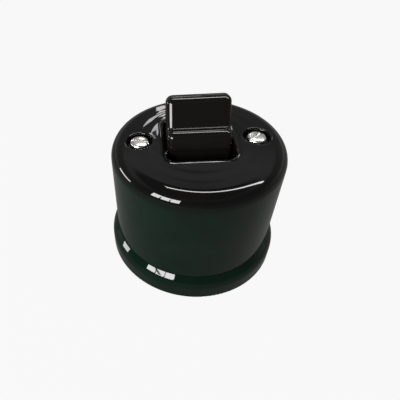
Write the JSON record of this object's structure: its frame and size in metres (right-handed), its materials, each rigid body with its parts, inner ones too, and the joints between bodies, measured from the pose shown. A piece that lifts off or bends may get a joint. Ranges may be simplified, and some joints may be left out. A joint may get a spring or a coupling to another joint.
{
  "type": "surface-mounted light switch",
  "caption": "Round black-glazed porcelain wall switch: base ring, domed cover held by screws, and a toggle key that rocks a sprung changeover contact.",
  "frame": {"origin": "centre of the back face that lies on the wall", "axes": "+Z out of the wall into the room, X along the key's axle, key leaning towards +Y at rest"},
  "size_m": [0.0702, 0.0702, 0.0667],
  "materials": {
    "black_glaze": "glazed porcelain, high gloss",
    "phenolic": "moulded phenolic resin, satin",
    "brass": "stamped and turned brass",
    "silver": "fine silver contact pads",
    "steel": "nickel-plated screws, drawn axle and spring"
  },
  "bodies": {
    "housing": {"porcelain_base": "black_glaze", "porcelain_cover": "black_glaze", "key_axle": "steel", "mechanism_frame": "phenolic", "common_terminal": "brass", "front_terminal": "brass", "back_terminal": "brass", "fixed_contact_front": "silver", "fixed_contact_back": "silver", "clamp_screw_common": "steel", "clamp_screw_front": "steel", "clamp_screw_back": "steel", "cover_screw_left": "steel", "cover_screw_right": "steel", "cover_pillar_left": "brass", "cover_pillar_right": "brass", "pillar_screw_left": "steel", "pillar_screw_right": "steel", "frame_screw_left": "steel", "frame_screw_right": "steel"},
    "key": {"toggle_key": "black_glaze", "plunger_spring": "steel"},
    "plunger": {"plunger": "phenolic"},
    "bridge": {"contact_bridge": "brass", "moving_contact_front": "silver", "moving_contact_back": "silver"}
  },
  "joints": [
    {"name": "key_tilt", "type": "hinge", "parent": "housing", "child": "key", "pos_m": [0, 0, 0.04375], "axis": [1, 0, 0], "range_deg": [0, 32]},
    {"name": "plunger_slide", "type": "slide", "parent": "key", "child": "plunger", "axis": [0, 0.2756, 0.9613], "range_m": [0, 0.0012], "stiffness_N_per_m": 300, "springref_m": -0.004, "deforming": ["plunger_spring"]},
    {"name": "bridge_rock", "type": "hinge", "parent": "housing", "child": "bridge", "pos_m": [0, 0, 0.0256], "axis": [1, 0, 0], "range_deg": [-16, 0]}
  ],
  "couplings": [
    {"joint": "bridge_rock", "follows": "key_tilt", "ratio": -0.5}
  ]
}
